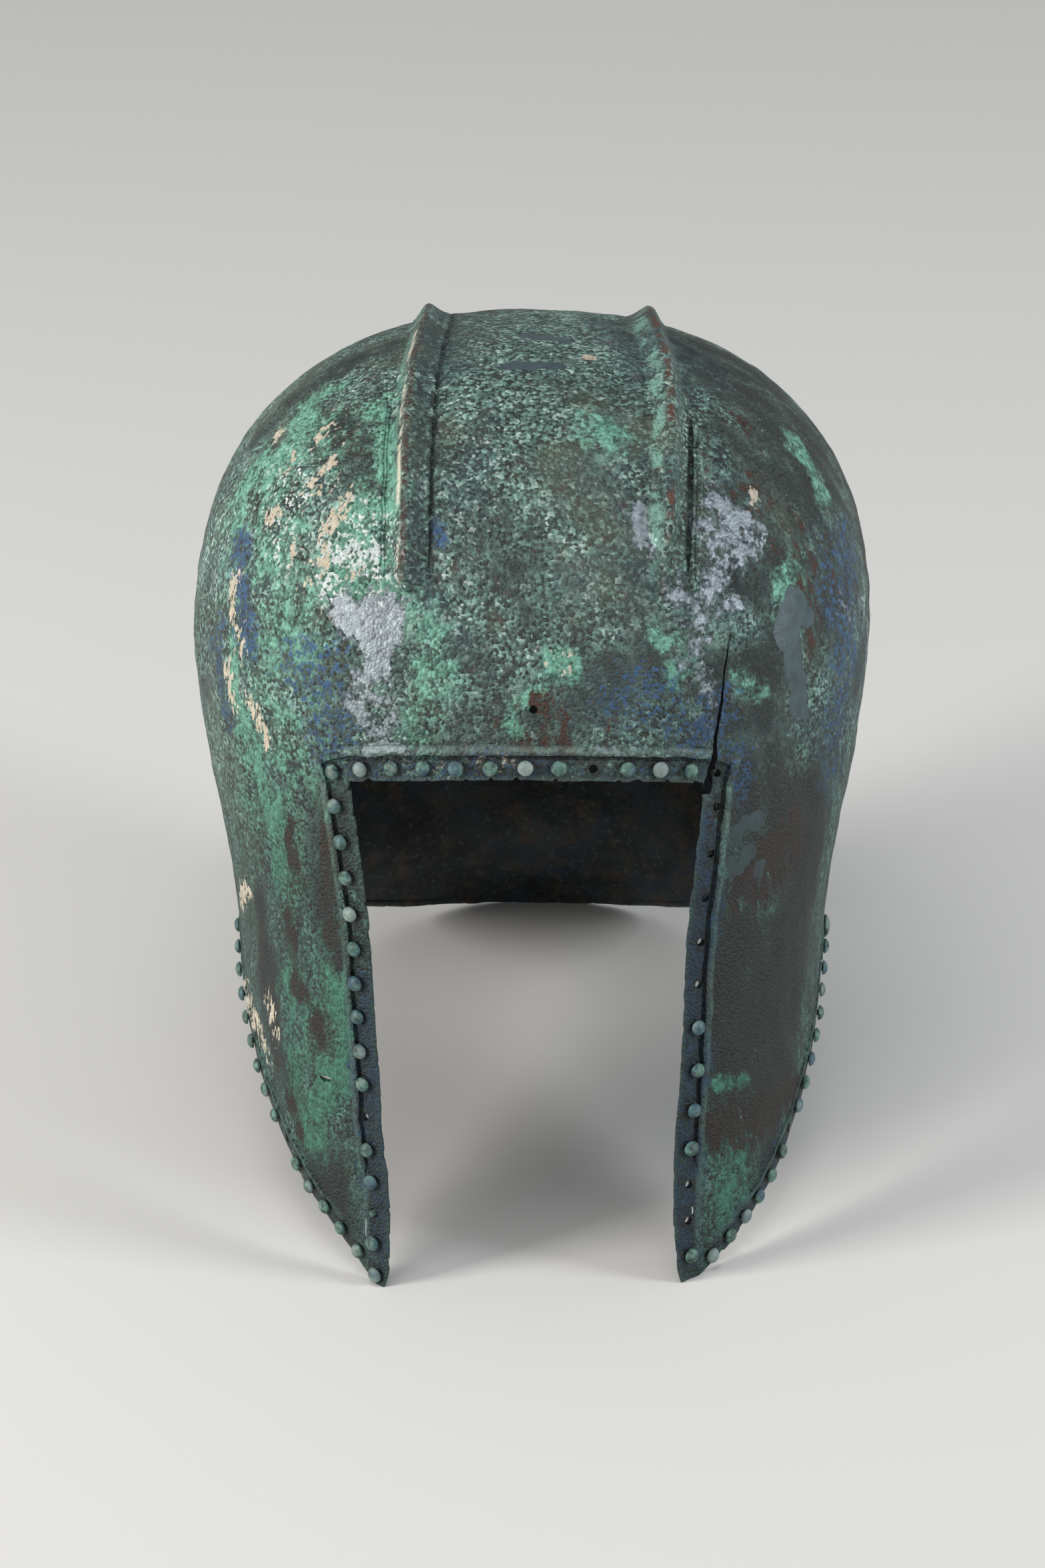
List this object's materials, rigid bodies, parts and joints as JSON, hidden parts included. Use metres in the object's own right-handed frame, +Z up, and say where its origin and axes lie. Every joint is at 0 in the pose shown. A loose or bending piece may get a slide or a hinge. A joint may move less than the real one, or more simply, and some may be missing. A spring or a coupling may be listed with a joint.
{
  "type": "illyrian helmet",
  "caption": "Open-faced helmet of raised bronze with twin crown ridges, long pointed cheekpieces, a flared neck guard and riveted edges.",
  "frame": {"origin": "on the floor under the middle of the box, with the helmet resting by itself on both cheek tips and the middle of the neck guard", "axes": "+Z up, the face opening towards -Y, the neck guard towards +Y, +X to the right as seen from the front"},
  "size_m": [0.2034, 0.2516, 0.2475],
  "materials": {
    "patinated_bronze": "old bronze under a rough green, blue and brown patina",
    "rivet_bronze": "old bronze with a dull brown-green patina"
  },
  "bodies": {
    "root": {"helmet_shell": "patinated_bronze", "rivet_brow_01": "rivet_bronze", "rivet_brow_02": "rivet_bronze", "rivet_brow_03": "rivet_bronze", "rivet_brow_04": "rivet_bronze", "rivet_brow_05": "rivet_bronze", "rivet_brow_06": "rivet_bronze", "rivet_brow_07": "rivet_bronze", "rivet_brow_08": "rivet_bronze", "rivet_brow_10": "rivet_bronze", "rivet_brow_11": "rivet_bronze", "rivet_brow_12": "rivet_bronze", "rivet_left_front_01": "rivet_bronze", "rivet_left_front_02": "rivet_bronze", "rivet_left_front_03": "rivet_bronze", "rivet_left_front_04": "rivet_bronze", "rivet_left_front_05": "rivet_bronze", "rivet_left_front_06": "rivet_bronze", "rivet_left_front_07": "rivet_bronze", "rivet_left_front_08": "rivet_bronze", "rivet_left_front_09": "rivet_bronze", "rivet_left_front_11": "rivet_bronze", "rivet_left_front_12": "rivet_bronze", "rivet_left_front_13": "rivet_bronze", "rivet_left_front_14": "rivet_bronze", "rivet_right_front_06": "rivet_bronze", "rivet_right_front_07": "rivet_bronze", "rivet_right_front_08": "rivet_bronze", "rivet_right_front_09": "rivet_bronze", "rivet_right_front_12": "rivet_bronze", "rivet_left_rear_01": "rivet_bronze", "rivet_left_rear_02": "rivet_bronze", "rivet_left_rear_03": "rivet_bronze", "rivet_left_rear_04": "rivet_bronze", "rivet_left_rear_05": "rivet_bronze", "rivet_left_rear_06": "rivet_bronze", "rivet_left_rear_08": "rivet_bronze", "rivet_left_rear_09": "rivet_bronze", "rivet_left_rear_10": "rivet_bronze", "rivet_left_rear_11": "rivet_bronze", "rivet_left_rear_12": "rivet_bronze", "rivet_left_rear_13": "rivet_bronze", "rivet_left_rear_14": "rivet_bronze", "rivet_left_rear_15": "rivet_bronze", "rivet_left_rear_16": "rivet_bronze", "rivet_right_rear_01": "rivet_bronze", "rivet_right_rear_02": "rivet_bronze", "rivet_right_rear_03": "rivet_bronze", "rivet_right_rear_04": "rivet_bronze", "rivet_right_rear_05": "rivet_bronze", "rivet_right_rear_06": "rivet_bronze", "rivet_right_rear_08": "rivet_bronze", "rivet_right_rear_09": "rivet_bronze", "rivet_right_rear_10": "rivet_bronze", "rivet_right_rear_11": "rivet_bronze", "rivet_right_rear_12": "rivet_bronze", "rivet_right_rear_13": "rivet_bronze", "rivet_right_rear_14": "rivet_bronze", "rivet_right_rear_15": "rivet_bronze", "rivet_right_rear_16": "rivet_bronze"}
  },
  "joints": []
}
